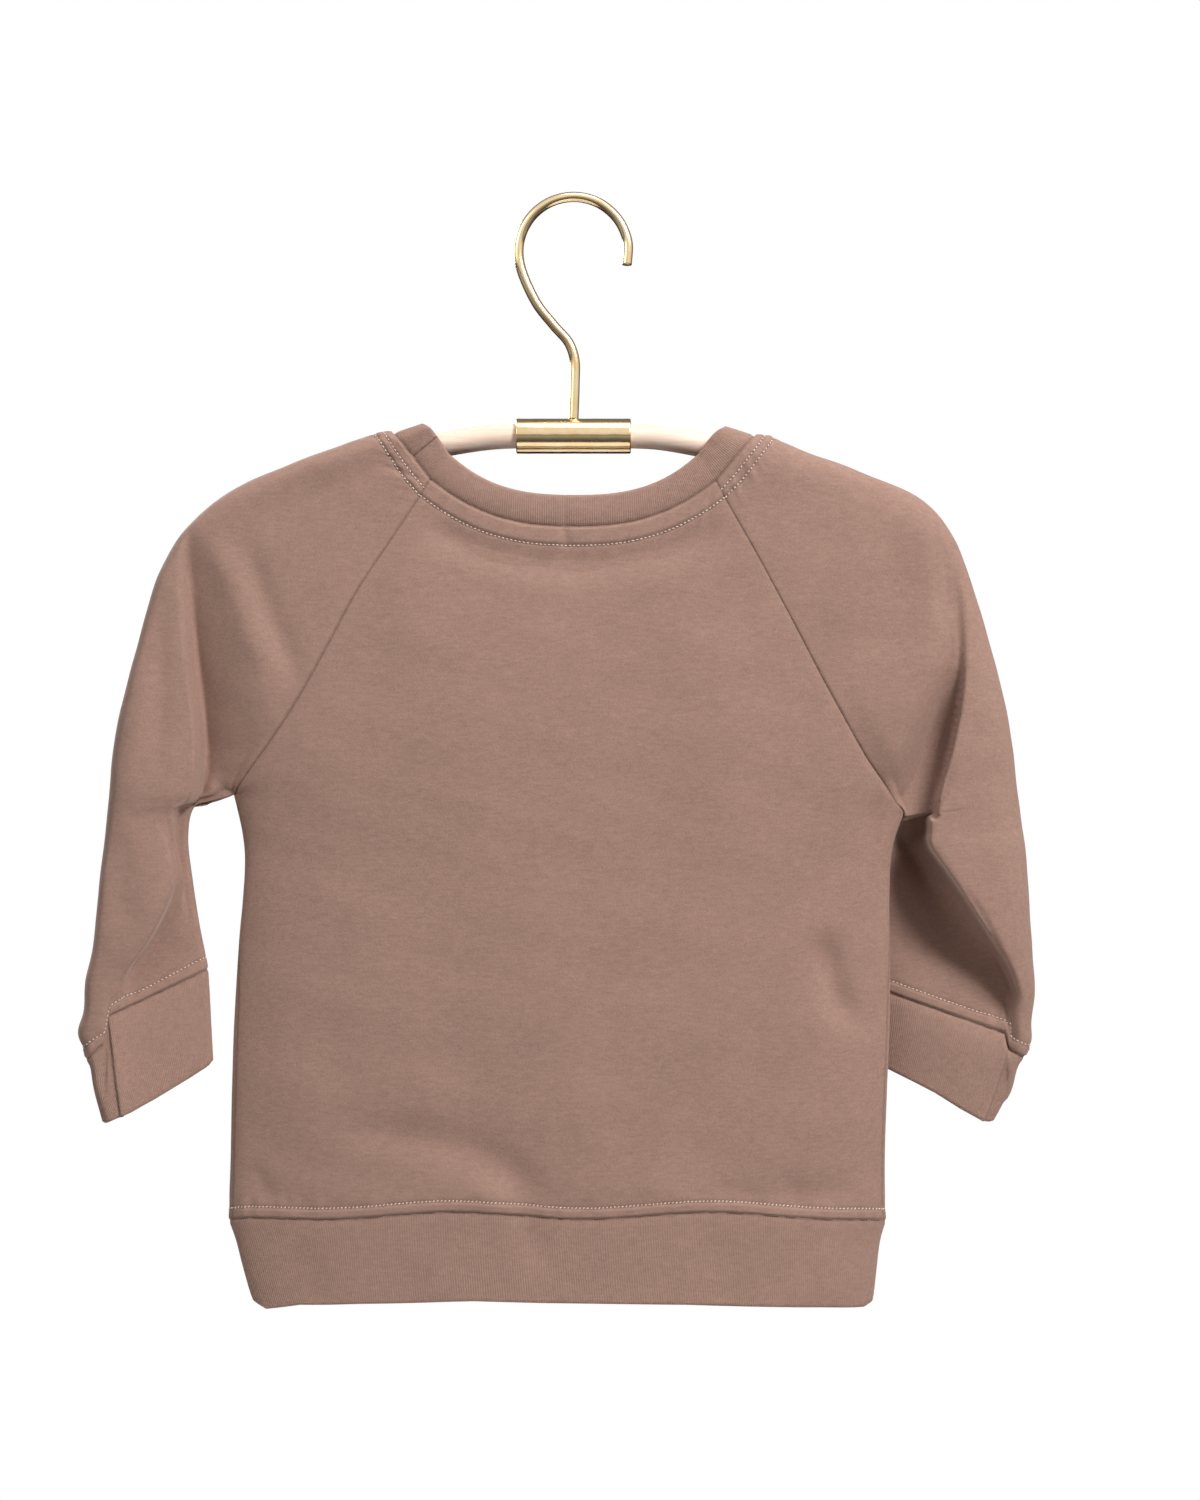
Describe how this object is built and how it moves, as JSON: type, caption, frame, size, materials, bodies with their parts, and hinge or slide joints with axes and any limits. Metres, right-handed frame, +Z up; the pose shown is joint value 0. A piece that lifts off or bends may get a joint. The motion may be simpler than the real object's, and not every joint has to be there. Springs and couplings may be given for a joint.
{
  "type": "crewneck sweatshirt on hanger",
  "caption": "Small child's crewneck sweatshirt with raglan sleeves and ribbed collar, cuffs and hem, hung on a round wooden hanger with a brass clamp and hook.",
  "frame": {"origin": "the point under the top of the hook's loop where it bears on a peg", "axes": "+Z up, +X towards the wearer's right, -Y out of the garment's back, which is the side the picture shows"},
  "size_m": [0.4002, 0.0411, 0.4685],
  "materials": {
    "jersey": "matte brushed cotton knit",
    "rib": "matte fine rib knit",
    "wood": "pale satin beech",
    "brass": "polished"
  },
  "bodies": {
    "root": {"back": "jersey", "front": "jersey", "sleeve_left": "jersey", "sleeve_right": "jersey", "collar": "rib", "hem_band": "rib", "cuff_left": "rib", "cuff_right": "rib", "hanger_bar": "wood", "hanger_clamp": "brass", "hanger_hook": "brass"}
  },
  "joints": []
}
